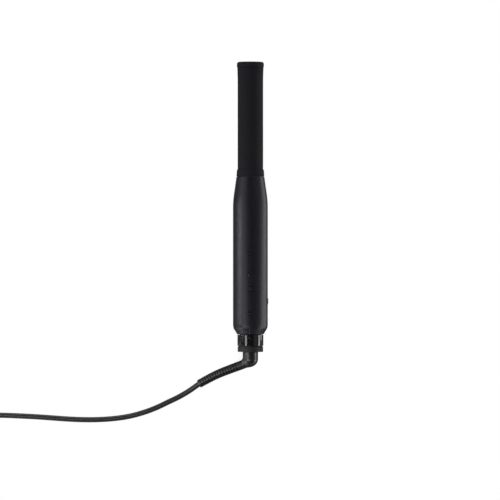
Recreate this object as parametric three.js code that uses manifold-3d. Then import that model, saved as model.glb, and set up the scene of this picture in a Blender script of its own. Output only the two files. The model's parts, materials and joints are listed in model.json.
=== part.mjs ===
// A hair-curling wand: a heated barrel on a slim handle with a swivel cord outlet.
// It lies on its back on a surface. Millimetres, +Z up out of the control side, +Y along
// the wand towards its tip, +X to the right. The origin is on the surface, under the middle
// of the wand's length. Everything in the wand group is measured from the wand's own axis.
import * as THREE from "three";
import { mergeVertices } from "three/addons/utils/BufferGeometryUtils.js";
import Module from "manifold-3d";

const wasm = await Module();
wasm.setup();

// ---------- driving dimensions ----------
const AXIS_HEIGHT = 18; // the wand's axis above the surface: the handle rests on a narrow flat
const GAP = 0.3; // between pieces that meet
const SIDES = 32; // facets round the outer pieces
const INNER_SIDES = 20; // facets round the inner pieces

const TIP_Y = 159.5;
const CAP_SEAM_Y = 153.35; // between the tip cap and the barrel
const COLLAR_TOP_Y = 41;
const NECK_Y = 33.3; // top end of the handle shells
const HANDLE_FOOT_Y = -140.2;
const RING_TOP_Y = -140.7;
const RING_FOOT_Y = -152.8;
const HUB_TOP_Y = -153.85;
const FOOT_Y = -159.5;

const TIP_R = 14.85;
const BARREL_R = 14;
const BARREL_BORE_R = 12.8;
const COLLAR_R = 15.32;
const HANDLE_R = 19.14;
const WALL = 2;
const RING_R = 14.25;
const HUB_R = 13.97;
const SLEEVE_R = 11.6; // the bearing's sleeve, which the lock ring turns on
const SPINDLE_R = 7.9; // the swivel's spindle, which turns inside the sleeve
const SLIP_R = 8; // slip rings on the spindle
const BEARING_FLANGE = { r: 15.2, low: -133.9, high: -131.1 };

const OUTSIDE = 30; // a cutting block reaches this far, beyond every outer surface of the wand
const SPLIT_Z = 0.12; // each handle shell stops this far from the plane through the axis

// Stacked from the middle outwards: stones, electrodes, film, and a half-round core on each side.
const CORE = { low: 46, high: 139.5, face: 2.4, wireR: 1.7, wireZ: 7.5 };
const FILM = { low: 46.4, high: 138, halfWidth: 9.1, halfHeight: 2.15, wall: 0.3 };
const ELECTRODE = { low: 47, high: 137, halfWidth: 7.5, inner: 1.2, outer: 1.6, tagLow: 40, tagHalf: 2 };
const STONE = { low: 51, length: 40, step: 42, halfWidth: 7, halfHeight: 0.9 };
const TIP_INSULATOR_YS = [140.4, 143.6];

// The collar's flange is held in a groove inside the handle's neck.
const NECK = { low: 11.7, flangeLow: 13.3, flangeHigh: 17.3, spigotR: 13.9, flangeR: 15.4, boreR: 11.5 };

const BOARD = { top: 10.2, under: 9, halfWidth: 12, low: -124, high: 6 };
const BOARD_SEAT_Z = BOARD.top + 0.1; // parts on the front of the board
const BOARD_HANG_Z = BOARD.under - 0.1; // parts on its back

const BUTTON_TRAVEL = 0.6;
const BUTTON_X = -0.5;
const BUTTON_WIDTH = 3.8;
const BUTTON_CORNER = 0.9;
const BUTTON_GAP = 0.25; // all round each button in the front shell
const BUTTON_FOOT_Z = 14.6;
const BUTTONS = [
  { name: "lower", y: -51.3, length: 3.3 },
  { name: "raise", y: -90.1, length: 5 },
  { name: "power", y: -117.3, length: 3.3 },
];
const LENSES = [
  { name: "upper", y: -71.8 },
  { name: "lower", y: -75.2 },
];
const LENS_X = -1.9;
const LENS_R = 0.8;
const CASING_SCREW_YS = [-28, -104];
const BOARD_SCREWS = [
  { name: "left", x: -9 },
  { name: "right", x: 9 },
];
const BOARD_SCREW_Y = -40;

// The slide switch stands in a slot in the front shell's right-hand edge.
const KNOB = { top: -100.8, length: 5.6, travel: 3, r: 20, low: 5, high: 19 };
const LOCK_TURN = 40; // degrees from unlocked to locked

const ELBOW_R = 8.44;
const ELBOW_END_Y = -167.4; // centre of the elbow's round end
const RELIEF_R = 5; // strain relief where it leaves the elbow
const RELIEF_END_R = 4.6;
const CORD_R = 3;
const COIL = { x: -333, y: -184.5, base: 1.1, inner: 27, outer: 45, layers: 2 };
const TIE = { width: 9, thickness: 0.8 };
const PLUG = { x: -384, y: -158, height: 7.6, width: 24, thickness: 15, corner: 4, body: 26, tail: 16 };
const BLADE = { spacing: 12.7, thickness: 1.5, width: 6.3, length: 17, seat: 4 };

// Centre line of the strain relief, from inside the elbow to where the cord comes out of it.
const RELIEF_ROUTE = [
  [-2.2, -171, 17.6],
  [-10.3, -174.2, 16],
  [-23.5, -179.2, 13.2],
  [-36.7, -184.6, 10.3],
  [-49.9, -191.4, 7.4],
  [-56.6, -195.2, 6],
];
// Centre line of the cord from the strain relief to the coil: down to the surface, then along it.
const LEAD_ROUTE = [
  [-56.9, -195.4, 5.9],
  [-61.8, -198.9, 4.9],
  [-67.7, -203, 3.9],
  [-74.8, -207.3, 3.3],
  [-81.9, -211.1, 3.1],
  [-90, -214.9, 3.1],
  [-98.5, -219.1, 3.1],
  [-108, -223.2, 3.1],
  [-120, -227.4, 3.1],
  [-134, -231, 3.1],
  [-150, -233.4, 3.1],
  [-168, -234.6, 3.1],
  [-188, -234.6, 3.1],
  [-210, -233.4, 3.1],
  [-232, -231.8, 3.1],
  [-254, -230.6, 3.1],
  [-276, -229.8, 3.2],
  [-294, -229.6, 3.6],
  [-308.8, -229.5, 4.1],
];
// Centre line of the cord from the coil to the plug.
const TAIL_ROUTE = [
  [-383, -171, 9],
  [-383.6, -167, 8.5],
  [-383.9, -163, 8],
  [-384, -158.3, 7.6],
];

// ---------- materials ----------
function finish(color, roughness, metalness = 0) {
  return new THREE.MeshStandardMaterial({ color, roughness, metalness });
}
const SATIN_BLACK = finish(0x1c1c1f, 0.5);
const DULL_BLACK = finish(0x121212, 0.95);
const GLOSS_BLACK = finish(0x070708, 0.08);
const MATTE_BLACK = finish(0x1e1e20, 0.75);
const CORD_BLACK = finish(0x141415, 0.6);
const PALE_LENS = finish(0xc8c8c8, 0.3);
const CERAMIC = finish(0xe6e2d6, 0.8);
const ALUMINIUM = finish(0xb8babc, 0.4, 1);
const BRASS = finish(0xb8923e, 0.35, 1);
const STEEL = finish(0x9a9c9e, 0.35, 1);
const NATURAL_PLASTIC = finish(0xd8d4c8, 0.6);
const BOARD_GREEN = finish(0x1f5a36, 0.5);
const FILM_AMBER = finish(0xb06a1c, 0.35);
const LEAD_GLASS_SLEEVE = finish(0xd9d2c4, 0.8);

// ---------- shapes ----------
function solid(geometry) {
  const bare = geometry.clone();
  bare.deleteAttribute("normal");
  bare.deleteAttribute("uv");
  const merged = mergeVertices(bare, 1e-3);
  const vertProperties = merged.attributes.position.array;
  const triVerts = new Uint32Array(merged.index.array);
  return new wasm.Manifold(new wasm.Mesh({ numProp: 3, vertProperties, triVerts }));
}

function join(first, ...others) {
  return others.reduce((sum, next) => sum.add(next), first);
}

function cut(first, ...others) {
  return others.reduce((rest, next) => rest.subtract(next), first);
}

// A turned piece: [radius, y] points up the outside, from the axis and back to it.
function turned(outline, sides = SIDES) {
  return solid(new THREE.LatheGeometry(outline.map(([r, y]) => new THREE.Vector2(r, y)), sides));
}

// A turned piece with a bore: its outline closes on itself.
function turnedRing(outline, sides = SIDES) {
  return turned([...outline, outline[0]], sides);
}

function ring(innerR, outerR, lowY, highY, sides = SIDES) {
  const outline = [
    [innerR, lowY],
    [outerR, lowY],
    [outerR, highY],
    [innerR, highY],
  ];
  return turnedRing(outline, sides);
}

function disc(r, lowY, highY, sides = SIDES) {
  const outline = [
    [0, lowY],
    [r, lowY],
    [r, highY],
    [0, highY],
  ];
  return turned(outline, sides);
}

function block([lowX, highX], [lowY, highY], [lowZ, highZ]) {
  const size = [highX - lowX, highY - lowY, highZ - lowZ];
  const middle = [(lowX + highX) / 2, (lowY + highY) / 2, (lowZ + highZ) / 2];
  return solid(new THREE.BoxGeometry(...size).translate(...middle));
}

// An upright round post.
function post(r, x, y, [lowZ, highZ], sides = 16) {
  const shape = new THREE.CylinderGeometry(r, r, highZ - lowZ, sides);
  return solid(shape.rotateX(Math.PI / 2).translate(x, y, (lowZ + highZ) / 2));
}

// A round rod along the wand.
function rod(r, x, z, [lowY, highY], sides = 12) {
  const shape = new THREE.CylinderGeometry(r, r, highY - lowY, sides);
  return solid(shape.translate(x, (lowY + highY) / 2, z));
}

// Part of a ring between two angles, counted in degrees from +X towards +Z.
function ringPart([innerR, outerR], [lowAngle, highAngle], [lowY, highY], facets = 12) {
  const low = THREE.MathUtils.degToRad(lowAngle);
  const high = THREE.MathUtils.degToRad(highAngle);
  const shape = new THREE.Shape();
  shape.absarc(0, 0, outerR, low, high, false);
  shape.absarc(0, 0, innerR, high, low, true);
  const options = { depth: highY - lowY, bevelEnabled: false, curveSegments: facets };
  const geometry = new THREE.ExtrudeGeometry(shape, options);
  return solid(geometry.rotateX(Math.PI / 2).translate(0, highY, 0));
}

function roundedRectangle(width, height, r) {
  const x = width / 2 - r;
  const y = height / 2 - r;
  const shape = new THREE.Shape();
  shape.moveTo(x + r, y);
  shape.absarc(x, y, r, 0, Math.PI / 2, false);
  shape.absarc(-x, y, r, Math.PI / 2, Math.PI, false);
  shape.absarc(-x, -y, r, Math.PI, 1.5 * Math.PI, false);
  shape.absarc(x, -y, r, 1.5 * Math.PI, 2 * Math.PI, false);
  return shape;
}

// An upright bar whose section is a rounded rectangle, its length along the wand.
function bar(width, length, corner, [x, y], [lowZ, highZ]) {
  const shape = roundedRectangle(width, length, corner);
  const options = { depth: highZ - lowZ, bevelEnabled: false, curveSegments: 3 };
  return solid(new THREE.ExtrudeGeometry(shape, options).translate(x, y, lowZ));
}

function circle(sides) {
  const points = [];
  for (let i = 0; i < sides; i += 1) {
    const angle = (2 * Math.PI * i) / sides;
    points.push(new THREE.Vector2(Math.cos(angle), Math.sin(angle)));
  }
  return new THREE.Shape(points);
}

// A round tube along a smooth curve, its radius going evenly from startR to endR.
function tube(route, startR, endR, steps, sides) {
  const path = new THREE.CatmullRomCurve3(route.map((point) => new THREE.Vector3(...point)));
  const options = { steps, bevelEnabled: false, extrudePath: path };
  const geometry = new THREE.ExtrudeGeometry(circle(sides), options);
  const centres = path.getSpacedPoints(steps);
  const position = geometry.attributes.position;
  const vertex = new THREE.Vector3();
  for (let i = 0; i < position.count; i += 1) {
    vertex.fromBufferAttribute(position, i);
    const distances = centres.map((centre) => centre.distanceToSquared(vertex));
    const nearest = distances.indexOf(Math.min(...distances));
    const r = THREE.MathUtils.lerp(startR, endR, nearest / steps);
    vertex.sub(centres[nearest]).multiplyScalar(r).add(centres[nearest]);
    position.setXYZ(i, vertex.x, vertex.y, vertex.z);
  }
  return solid(geometry);
}

function piece(name, shape, material) {
  const made = shape.getMesh();
  const geometry = new THREE.BufferGeometry();
  geometry.setAttribute("position", new THREE.BufferAttribute(made.vertProperties, 3));
  geometry.setIndex(new THREE.BufferAttribute(made.triVerts, 1));
  const mesh = new THREE.Mesh(geometry, material);
  mesh.name = name;
  return mesh;
}

// ---------- barrel and heater ----------
function tipCap() {
  const shoulder = new THREE.QuadraticBezierCurve(
    new THREE.Vector2(TIP_R, TIP_Y - 4.6),
    new THREE.Vector2(TIP_R - 0.15, TIP_Y - 0.3),
    new THREE.Vector2(9.9, TIP_Y - 0.1),
  );
  const skirtR = BARREL_BORE_R - 0.2;
  const skirtY = CAP_SEAM_Y - 7;
  const outline = [
    [0, CAP_SEAM_Y - 1.4],
    [skirtR - 1.6, CAP_SEAM_Y - 1.4],
    [skirtR - 1.6, skirtY],
    [skirtR, skirtY],
    [skirtR, CAP_SEAM_Y],
    [TIP_R - 0.15, CAP_SEAM_Y],
    ...shoulder.getPoints(4).map((p) => [p.x, p.y]),
    [0, TIP_Y],
  ];
  return turned(outline);
}

function barrel() {
  const footY = COLLAR_TOP_Y - 5.1;
  const topY = CAP_SEAM_Y - GAP;
  const outline = [
    [BARREL_BORE_R, footY],
    [BARREL_R, footY],
    [BARREL_R, topY - 19],
    [BARREL_R + 0.16, topY - 9],
    [BARREL_R + 0.45, topY],
    [BARREL_BORE_R, topY],
  ];
  return turnedRing(outline);
}

function neckCollar() {
  const { low, flangeLow, flangeHigh, spigotR, flangeR, boreR } = NECK;
  const seatY = COLLAR_TOP_Y - 5.4;
  const outline = [
    [boreR, low],
    [spigotR, low],
    [spigotR, flangeLow],
    [flangeR, flangeLow],
    [flangeR, flangeHigh],
    [spigotR, flangeHigh],
    [spigotR, NECK_Y + GAP],
    [COLLAR_R, NECK_Y + GAP],
    [COLLAR_R - 0.32, COLLAR_TOP_Y - 3],
    [COLLAR_R - 0.47, COLLAR_TOP_Y - 0.8],
    [COLLAR_R - 0.85, COLLAR_TOP_Y],
    [BARREL_R + 0.12, COLLAR_TOP_Y],
    [BARREL_R + 0.12, seatY],
    [boreR, seatY],
  ];
  return turnedRing(outline);
}

// One of two half-round aluminium cores that press the heater against the barrel.
function heaterCore(side) {
  const round = disc(BARREL_BORE_R - GAP, CORE.low, CORE.high, INNER_SIDES);
  const zs = side > 0 ? [CORE.face, OUTSIDE] : [-OUTSIDE, -CORE.face];
  const half = round.intersect(block([-OUTSIDE, OUTSIDE], [0, TIP_Y], zs));
  return cut(half, rod(CORE.wireR, 0, side * CORE.wireZ, [0, TIP_Y]));
}

function electrode(side) {
  const { low, high, halfWidth, inner, outer, tagLow, tagHalf } = ELECTRODE;
  const zs = side > 0 ? [inner, outer] : [-outer, -inner];
  const tag = block([-tagHalf, tagHalf], [tagLow, low + 0.5], zs);
  return join(block([-halfWidth, halfWidth], [low, high], zs), tag);
}

function insulationFilm() {
  const { low, high, halfWidth, halfHeight, wall } = FILM;
  const insideX = halfWidth - wall;
  const insideZ = halfHeight - wall;
  const outer = block([-halfWidth, halfWidth], [low, high], [-halfHeight, halfHeight]);
  return cut(outer, block([-insideX, insideX], [0, TIP_Y], [-insideZ, insideZ]));
}

function stone(index) {
  const { low, length, step, halfWidth, halfHeight } = STONE;
  const start = low + step * index;
  return block([-halfWidth, halfWidth], [start, start + length], [-halfHeight, halfHeight]);
}

function heaterPieces() {
  const insulator = disc(BARREL_BORE_R - GAP, ...TIP_INSULATOR_YS, INNER_SIDES);
  return [
    piece("tip_cap", tipCap(), DULL_BLACK),
    piece("barrel", barrel(), DULL_BLACK),
    piece("neck_collar", neckCollar(), DULL_BLACK),
    piece("tip_insulator", insulator, CERAMIC),
    piece("heater_core_front", heaterCore(1), ALUMINIUM),
    piece("heater_core_rear", heaterCore(-1), ALUMINIUM),
    piece("electrode_front", electrode(1), BRASS),
    piece("electrode_rear", electrode(-1), BRASS),
    piece("insulation_film", insulationFilm(), FILM_AMBER),
    piece("thermistor", rod(1.2, 0, CORE.wireZ, [50, 58]), CERAMIC),
    piece("thermal_fuse", rod(1.5, 3.5, -3, [15, 25]), STEEL),
    piece("heat_shield_disc", ring(6, 11.2, 28, 29.4, INNER_SIDES), CERAMIC),
    ...["neck", "tip"].map((end, i) => piece(`ptc_stone_${end}`, stone(i), CERAMIC)),
  ];
}

// ---------- handle ----------
// The handle as one closed shell of revolution, before it is split into front and rear.
function handleBody() {
  const foot = new THREE.QuadraticBezierCurve(
    new THREE.Vector2(HANDLE_R - 1.14, -134.6),
    new THREE.Vector2(HANDLE_R, -132.8),
    new THREE.Vector2(HANDLE_R, -128.5),
  );
  const shoulder = new THREE.QuadraticBezierCurve(
    new THREE.Vector2(HANDLE_R, -1),
    new THREE.Vector2(HANDLE_R, 6.5),
    new THREE.Vector2(HANDLE_R - 1.09, 14),
  );
  const outside = [...foot.getPoints(3), ...shoulder.getPoints(3)].map((p) => [p.x, p.y]);
  const innerR = HANDLE_R - WALL;
  const neckBoreR = NECK.spigotR + GAP;
  const neckGrooveR = NECK.flangeR + 0.5;
  const footBoreR = 13.4;
  const footGrooveR = 15.6; // holds the bearing's flange
  const outline = [
    [footBoreR, HANDLE_FOOT_Y],
    [RING_R + 0.2, HANDLE_FOOT_Y],
    ...outside,
    [COLLAR_R - 0.02, NECK_Y],
    [neckBoreR, NECK_Y],
    [neckBoreR, NECK.flangeHigh + GAP],
    [neckGrooveR, NECK.flangeHigh + GAP],
    [neckGrooveR, NECK.flangeLow - GAP],
    [neckBoreR, NECK.flangeLow - GAP],
    [neckBoreR, NECK.low - GAP],
    [16.2, NECK.low - GAP],
    [innerR, -1],
    [innerR, -127.6],
    [footBoreR, -129.4],
    [footBoreR, BEARING_FLANGE.high + GAP],
    [footGrooveR, BEARING_FLANGE.high + GAP],
    [footGrooveR, BEARING_FLANGE.low - GAP],
    [footBoreR, BEARING_FLANGE.low - GAP],
  ];
  return turnedRing(outline);
}

// What lies between two heights over the whole length of the wand.
function wandHalf(zs) {
  return block([-OUTSIDE, OUTSIDE], [FOOT_Y, TIP_Y], zs);
}

function frontShell() {
  const half = handleBody().intersect(wandHalf([SPLIT_Z, OUTSIDE]));
  const bosses = CASING_SCREW_YS.map((y) => post(3.2, 0, y, [-3.5, 17.6]));
  const boardPosts = BOARD_SCREWS.map(({ x }) => post(2.2, x, BOARD_SCREW_Y, [10.5, 15.2]));
  const holes = [
    ...CASING_SCREW_YS.map((y) => post(1.25, 0, y, [-5, 13])),
    ...BOARD_SCREWS.map(({ x }) => post(1.15, x, BOARD_SCREW_Y, [9, 14.4])),
    ...BUTTONS.map(({ y, length }) =>
      bar(
        BUTTON_WIDTH + 2 * BUTTON_GAP,
        length + 2 * BUTTON_GAP,
        BUTTON_CORNER + BUTTON_GAP,
        [BUTTON_X, y],
        [15, OUTSIDE],
      ),
    ),
    ...LENSES.map(({ y }) => post(LENS_R + 0.15, LENS_X, y, [15, OUTSIDE])),
    ringPart(
      [15, OUTSIDE],
      [KNOB.low - 1, KNOB.high + 1],
      [KNOB.top - KNOB.length - KNOB.travel - 0.4, KNOB.top + 0.4],
    ),
  ];
  return cut(join(half, ...bosses, ...boardPosts), ...holes);
}

function rearShell() {
  const half = handleBody().intersect(wandHalf([-OUTSIDE, -SPLIT_Z]));
  const pad = block([-6.2, 6.2], [-126, 6], [0.05 - AXIS_HEIGHT, 2.2 - AXIS_HEIGHT]);
  const bosses = CASING_SCREW_YS.map((y) => post(4.2, 0, y, [0.1 - AXIS_HEIGHT, -3.9]));
  const holes = CASING_SCREW_YS.flatMap((y) => [
    post(1.7, 0, y, [-OUTSIDE, 0]),
    post(3.2, 0, y, [-OUTSIDE, -9]),
  ]);
  const belowSurface = wandHalf([-OUTSIDE, -AXIS_HEIGHT]);
  return cut(join(half, pad, ...bosses), belowSurface, ...holes);
}

function casingScrew(y) {
  const headZ = -9.3;
  const screw = join(
    post(2.9, 0, y, [headZ - 1.9, headZ]),
    post(1.1, 0, y, [headZ - 0.1, 8], 12),
  );
  const recess = [headZ - 3, headZ - 0.9];
  return cut(
    screw,
    block([-1.6, 1.6], [y - 0.35, y + 0.35], recess),
    block([-0.35, 0.35], [y - 1.6, y + 1.6], recess),
  );
}

function boardScrew(x) {
  return join(
    post(2, x, BOARD_SCREW_Y, [BOARD_HANG_Z - 1.4, BOARD_HANG_Z], 12),
    post(0.9, x, BOARD_SCREW_Y, [BOARD_HANG_Z - 0.1, 14], 10),
  );
}

function handlePieces() {
  return [
    piece("handle_front_shell", frontShell(), SATIN_BLACK),
    piece("handle_rear_shell", rearShell(), SATIN_BLACK),
    ...CASING_SCREW_YS.map((y, i) => piece(`casing_screw_${i + 1}`, casingScrew(y), STEEL)),
    ...BOARD_SCREWS.map(({ name, x }) => piece(`board_screw_${name}`, boardScrew(x), STEEL)),
    ...LENSES.map(({ name, y }) =>
      piece(`indicator_lens_${name}`, post(LENS_R, LENS_X, y, [15.2, 19.02]), PALE_LENS),
    ),
  ];
}

// ---------- controls ----------
function button({ y, length }) {
  const place = [BUTTON_X, y];
  const stem = bar(BUTTON_WIDTH, length, BUTTON_CORNER, place, [BUTTON_FOOT_Z, OUTSIDE]);
  const flange = bar(BUTTON_WIDTH + 1.6, length + 1.6, BUTTON_CORNER + 0.8, place, [15, 16.1]);
  return join(stem.intersect(disc(HANDLE_R - 0.05, y - 10, y + 10)), flange);
}

function slideKnob() {
  const { top, length, travel, r, low, high } = KNOB;
  const grip = ringPart([15.3, r], [low, high], [top - length, top], 4);
  const slipwayYs = [top - length - travel - 1.2, top + travel + 1.2];
  const slipway = ringPart([15.3, 16.7], [low - 2, high + 3], slipwayYs, 4);
  const grooves = [1.4, 2.8, 4.2].map((step) =>
    ringPart([r - 0.4, r + 1], [low - 1, high + 1], [top - step - 0.3, top - step + 0.3], 4),
  );
  return cut(join(grip, slipway), ...grooves);
}

function controlBoard() {
  const { top, under, halfWidth, low, high } = BOARD;
  const plate = block([-halfWidth, halfWidth], [low, high], [under, top]);
  const holes = [
    ...CASING_SCREW_YS.map((y) => post(3.7, 0, y, [5, 15])),
    ...BOARD_SCREWS.map(({ x }) => post(1.2, x, BOARD_SCREW_Y, [5, 15], 10)),
  ];
  return cut(plate, ...holes);
}

function tactileSwitch(y) {
  const half = 3;
  const bodyTopZ = BOARD_SEAT_Z + 2.9;
  const body = block(
    [BUTTON_X - half, BUTTON_X + half],
    [y - half, y + half],
    [BOARD_SEAT_Z, bodyTopZ],
  );
  const plungerTopZ = BUTTON_FOOT_Z - BUTTON_TRAVEL - 0.2;
  return join(body, post(1.4, BUTTON_X, y, [bodyTopZ - 0.1, plungerTopZ], 12));
}

function electronicsPieces() {
  const slideSwitch = join(
    block([8.4, 11.8], [-110, -98], [3, BOARD_HANG_Z]),
    block([11.7, 13.6], [-105.4, -102.2], [4, 6]),
  );
  const lockSwitch = join(
    block([9.8, 14], [-127.4, -122.4], [2, 6.4]),
    block([10, 10.8], [-126.8, -125], [6.3, 7.2]),
  );
  return [
    piece("control_board", controlBoard(), BOARD_GREEN),
    ...BUTTONS.map(({ name, y }) =>
      piece(`tactile_switch_${name}`, tactileSwitch(y), NATURAL_PLASTIC),
    ),
    piece("indicator_lamp", bar(3, 6.4, 1.4, [LENS_X, -73.5], [BOARD_SEAT_Z, 14.2]), PALE_LENS),
    piece("filter_capacitor", block([-6, 6], [-21, -8], [BOARD_SEAT_Z, 15.2]), FILM_AMBER),
    piece("triac", block([-5, 5], [-56, -46], [4.2, BOARD_HANG_Z]), GLOSS_BLACK),
    piece("slide_switch_body", slideSwitch, NATURAL_PLASTIC),
    piece("lock_switch", lockSwitch, NATURAL_PLASTIC),
  ];
}

// Insulated wires inside the casing: name, radius and centre line.
const WIRES = [
  ["heater_front", [[0, 39.4, 1.4], [-1.6, 33, 2], [-2.6, 24, 3], [-4, 12, 6], [-5, 2, 8]]],
  ["heater_rear", [[0, 39.4, -1.4], [1.4, 34, -2.2], [2.8, 29.6, -2.9], [3.5, 25.4, -3]]],
  ["fuse", [[3.5, 14.6, -3], [4, 10, -0.6], [5, 5, 4], [5.4, 0, 8]]],
  ["thermistor", [[0, 49.6, 7.5], [0, 44, 7.2], [0, 36, 5.2], [0.6, 28, 4.6], [1, 14, 6.4], [1, 4, 8]]],
  ["supply_live", [[9.3, -120, 5.5], [8.8, -118, 6.9], [8, -114, 8]]],
  ["supply_neutral", [[-9.3, -113, 5.5], [-8.8, -111, 6.9], [-8, -107, 8]]],
];

function wirePieces() {
  return WIRES.map(([name, route]) =>
    piece(`lead_${name}`, tube(route, 0.8, 0.8, 6, 6), LEAD_GLASS_SLEEVE),
  );
}

// ---------- foot of the handle: bearing, lock ring, swivel ----------
function endBearing() {
  const boreR = SPINDLE_R + GAP;
  const grooveR = SLEEVE_R - 0.9;
  const outline = [
    [boreR, HUB_TOP_Y + 0.25],
    [13.6, HUB_TOP_Y + 0.25],
    [13.6, RING_FOOT_Y - 0.25],
    [SLEEVE_R, RING_FOOT_Y - 0.25],
    [SLEEVE_R, -148],
    [grooveR, -148],
    [grooveR, -146.4],
    [SLEEVE_R, -146.4],
    [SLEEVE_R, BEARING_FLANGE.low],
    [BEARING_FLANGE.r, BEARING_FLANGE.low],
    [BEARING_FLANGE.r, BEARING_FLANGE.high],
    [SLEEVE_R, BEARING_FLANGE.high],
    [SLEEVE_R, -128],
    [boreR, -128],
  ];
  const tabSlot = ringPart([SLEEVE_R + 0.2, 13.4], [80 - LOCK_TURN, 100], [-135, -130]);
  return cut(turnedRing(outline), tabSlot);
}

function frictionRing() {
  const r = 0.42;
  const outline = [];
  for (let i = 0; i < 6; i += 1) {
    const angle = (Math.PI * i) / 3;
    outline.push([SLEEVE_R - 0.25 + r * Math.cos(angle), -147.2 + r * Math.sin(angle)]);
  }
  return turnedRing(outline, INNER_SIDES);
}

// The ring has a tab that reaches up through the bearing's flange and works the lock switch.
function lockRing() {
  const boreR = SLEEVE_R + GAP;
  const outline = [
    [boreR, RING_FOOT_Y],
    [RING_R - 0.25, RING_FOOT_Y],
    [RING_R, RING_FOOT_Y + 0.3],
    [RING_R, RING_TOP_Y - 0.3],
    [RING_R - 0.25, RING_TOP_Y],
    [boreR, RING_TOP_Y],
  ];
  const tab = ringPart([SLEEVE_R + 0.5, 13.1], [82, 98], [RING_TOP_Y - 1, -124.6], 3);
  return join(turnedRing(outline), tab);
}

function swivelHub() {
  const boreR = 3.6;
  const neckR = SLIP_R - 1;
  const outline = [
    [boreR, FOOT_Y],
    [HUB_R - 0.4, FOOT_Y],
    [HUB_R, FOOT_Y + 0.5],
    [HUB_R, HUB_TOP_Y - 0.4],
    [HUB_R - 0.3, HUB_TOP_Y],
    [SPINDLE_R, HUB_TOP_Y],
    [SPINDLE_R, -127.6],
    [neckR - 0.7, -127.6],
    [neckR - 0.7, -126.2],
    [neckR, -126.2],
    [neckR, -109],
    [boreR, -109],
  ];
  return turnedRing(outline);
}

// A leaf that bears on a slip ring, with a foot on the holder's post.
function brush(side, y) {
  const across = (low, high) => (side > 0 ? [low, high] : [-high, -low]);
  const ys = [y - 1.2, y + 1.2];
  return join(block(across(8.3, 8.7), ys, [-4, 4.5]), block(across(8.6, 9.9), ys, [3.9, 4.5]));
}

function brushHolder() {
  return join(
    block([-12, 12], [-122, -110], [-11.5, -9.2]),
    block([-12, -10.2], [-122, -110], [-9.3, 5]),
    block([10.2, 12], [-122, -110], [-9.3, 5]),
  );
}

function footPieces() {
  const clip = ringPart([6.6, 9.4], [110, 430], [-127.4, -126.4], 14);
  return [
    piece("end_bearing", endBearing(), MATTE_BLACK),
    piece("friction_ring", frictionRing(), CORD_BLACK),
    piece("lock_ring", lockRing(), GLOSS_BLACK),
    piece("swivel_hub", swivelHub(), MATTE_BLACK),
    piece("slip_ring_live", ring(7.1, SLIP_R, -121.5, -118.5, INNER_SIDES), BRASS),
    piece("slip_ring_neutral", ring(7.1, SLIP_R, -114.5, -111.5, INNER_SIDES), BRASS),
    piece("retaining_clip", clip, STEEL),
    piece("brush_holder", brushHolder(), NATURAL_PLASTIC),
    piece("brush_live", brush(1, -120), BRASS),
    piece("brush_neutral", brush(-1, -113), BRASS),
  ];
}

// ---------- cord, in the part's own frame ----------
function elbow() {
  const outline = [[0, ELBOW_END_Y - ELBOW_R]];
  for (let angle = -75; angle < 0; angle += 15) {
    const turn = THREE.MathUtils.degToRad(angle);
    outline.push([ELBOW_R * Math.cos(turn), ELBOW_END_Y + ELBOW_R * Math.sin(turn)]);
  }
  outline.push([ELBOW_R, ELBOW_END_Y], [ELBOW_R, FOOT_Y - GAP], [0, FOOT_Y - GAP]);
  const socket = turned(outline, INNER_SIDES).translate([0, 0, AXIS_HEIGHT]);
  return join(socket, tube(RELIEF_ROUTE, RELIEF_R, RELIEF_END_R, 12, 12));
}

// The outer shape of the wound cord: a ring that lies flat, turned about an upright axis.
function coil() {
  const height = COIL.layers * 2 * CORD_R;
  const wound = ring(COIL.inner - CORD_R, COIL.outer + CORD_R, 0, height);
  return wound.rotate([90, 0, 0]).translate([COIL.x, COIL.y, COIL.base]);
}

function cordTie() {
  const innerX = [COIL.inner - CORD_R - 3 * GAP, COIL.outer + CORD_R + GAP];
  const innerZ = [TIE.thickness, COIL.base + COIL.layers * 2 * CORD_R + GAP];
  const grow = ([low, high]) => [low - TIE.thickness, high + TIE.thickness];
  const band = block(grow(innerX), [-TIE.width / 2, TIE.width / 2], grow(innerZ));
  return cut(band, block(innerX, [-TIE.width, TIE.width], innerZ)).translate([COIL.x, COIL.y, 0]);
}

function plugBody() {
  const shape = roundedRectangle(PLUG.width, PLUG.thickness, PLUG.corner);
  const options = { depth: PLUG.body, bevelEnabled: false, curveSegments: 4 };
  const body = new THREE.ExtrudeGeometry(shape, options).rotateX(Math.PI / 2);
  body.translate(0, PLUG.tail + PLUG.body, 0);
  const tailOutline = [
    [0, 0],
    [CORD_R + 0.9, 0],
    [CORD_R + 2.4, PLUG.tail],
    [CORD_R + 2.4, PLUG.tail + 2],
    [0, PLUG.tail + 2],
  ];
  const faceY = PLUG.tail + PLUG.body;
  const pockets = [-1, 1].map((side) => {
    const x = (side * BLADE.spacing) / 2;
    const half = BLADE.thickness / 2 + 0.2;
    const halfBlade = BLADE.width / 2 + 0.2;
    const ys = [faceY - BLADE.seat - 0.2, faceY + 5];
    return block([x - half, x + half], ys, [-halfBlade, halfBlade]);
  });
  return cut(join(solid(body), turned(tailOutline, INNER_SIDES)), ...pockets);
}

function plugBlade(side) {
  const x = (side * BLADE.spacing) / 2;
  const faceY = PLUG.tail + PLUG.body;
  const xs = [x - BLADE.thickness / 2, x + BLADE.thickness / 2];
  const ys = [faceY - BLADE.seat, faceY + BLADE.length];
  const plate = block(xs, ys, [-BLADE.width / 2, BLADE.width / 2]);
  const eye = new THREE.CylinderGeometry(1.5, 1.5, 6, 16).rotateZ(Math.PI / 2);
  return cut(plate, solid(eye.translate(x, faceY + BLADE.length - 4, 0)));
}

function plugGroup() {
  const plug = new THREE.Group();
  plug.position.set(PLUG.x, PLUG.y, PLUG.height);
  plug.add(
    piece("plug_body", plugBody(), MATTE_BLACK),
    piece("plug_blade_left", plugBlade(-1), BRASS),
    piece("plug_blade_right", plugBlade(1), BRASS),
  );
  return plug;
}

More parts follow.
